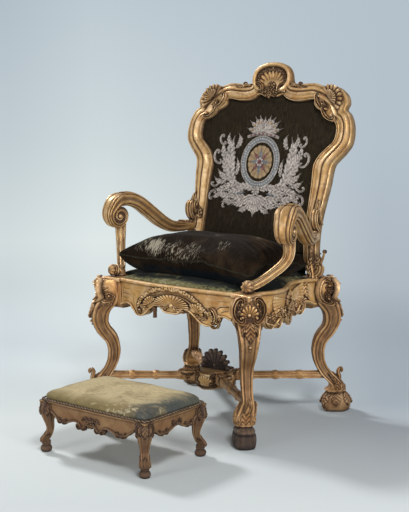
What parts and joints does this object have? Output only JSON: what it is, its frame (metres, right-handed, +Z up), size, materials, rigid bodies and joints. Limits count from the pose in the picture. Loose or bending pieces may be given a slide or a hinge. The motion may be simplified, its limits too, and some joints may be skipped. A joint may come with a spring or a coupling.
{
  "type": "armchair with footstool",
  "caption": "Carved and gilded high-backed armchair with cabriole legs, crossed stretchers, a loose cushion and a matching low footstool.",
  "frame": {"origin": "on the floor, under the middle of the bounding box of the chair and its footstool together", "axes": "+Z up, the chair faces -Y towards its footstool, +X is on the right of a person who looks at the chair's front"},
  "size_m": [0.874, 1.1858, 1.3209],
  "materials": {
    "gilded_wood": "carved and gilded, rubbed on the edges",
    "worn_gilded_wood": "gilding worn to a reddish brown ground",
    "bare_wood": "plain sawn and planed",
    "dark_velvet": "dark brown velvet with a soft pile",
    "seat_velvet": "worn olive velvet",
    "stool_velvet": "faded pale velvet",
    "webbing": "woven straps",
    "lining": "plain cloth",
    "silver_thread": "raised embroidery in silver and lilac thread"
  },
  "bodies": {
    "chair": {"crest_rail": "gilded_wood", "left_stile": "gilded_wood", "right_stile": "gilded_wood", "left_arm": "gilded_wood", "right_arm": "gilded_wood", "left_arm_support": "gilded_wood", "right_arm_support": "gilded_wood", "front_seat_rail": "gilded_wood", "left_seat_rail": "gilded_wood", "right_seat_rail": "gilded_wood", "front_left_leg": "gilded_wood", "front_right_leg": "gilded_wood", "back_left_leg": "gilded_wood", "back_right_leg": "gilded_wood", "front_left_stretcher": "gilded_wood", "front_right_stretcher": "gilded_wood", "back_left_stretcher": "gilded_wood", "back_right_stretcher": "gilded_wood", "stretcher_hub": "gilded_wood", "front_left_foot": "worn_gilded_wood", "front_right_foot": "worn_gilded_wood", "back_left_foot": "worn_gilded_wood", "back_right_foot": "worn_gilded_wood", "shell_finial": "worn_gilded_wood", "back_seat_rail": "worn_gilded_wood", "seat_frame": "bare_wood", "back_strainer": "bare_wood", "lower_back_rail": "bare_wood", "seat_front_left_brace": "bare_wood", "seat_front_right_brace": "bare_wood", "seat_back_left_brace": "bare_wood", "seat_back_right_brace": "bare_wood", "back_panel": "dark_velvet", "seat_pad": "seat_velvet", "seat_webbing": "webbing", "back_cover": "lining", "back_embroidery": "silver_thread"},
    "cushion": {"cushion": "dark_velvet"},
    "footstool": {"stool_front_left_leg": "gilded_wood", "stool_front_right_leg": "gilded_wood", "stool_back_left_leg": "gilded_wood", "stool_back_right_leg": "gilded_wood", "stool_front_rail": "gilded_wood", "stool_back_rail": "gilded_wood", "stool_left_rail": "gilded_wood", "stool_right_rail": "gilded_wood", "stool_frame": "bare_wood", "stool_front_left_brace": "bare_wood", "stool_front_right_brace": "bare_wood", "stool_back_left_brace": "bare_wood", "stool_back_right_brace": "bare_wood", "stool_pad": "stool_velvet", "stool_webbing": "webbing"}
  },
  "joints": [
    {"name": "cushion_lift", "type": "slide", "parent": "chair", "child": "cushion", "axis": [0, -0.3714, 0.9285], "range_m": [0, 0.3]},
    {"name": "footstool_slide", "type": "slide", "parent": "chair", "child": "footstool", "axis": [0, -1, 0], "range_m": [-0.05, 0.35]}
  ]
}
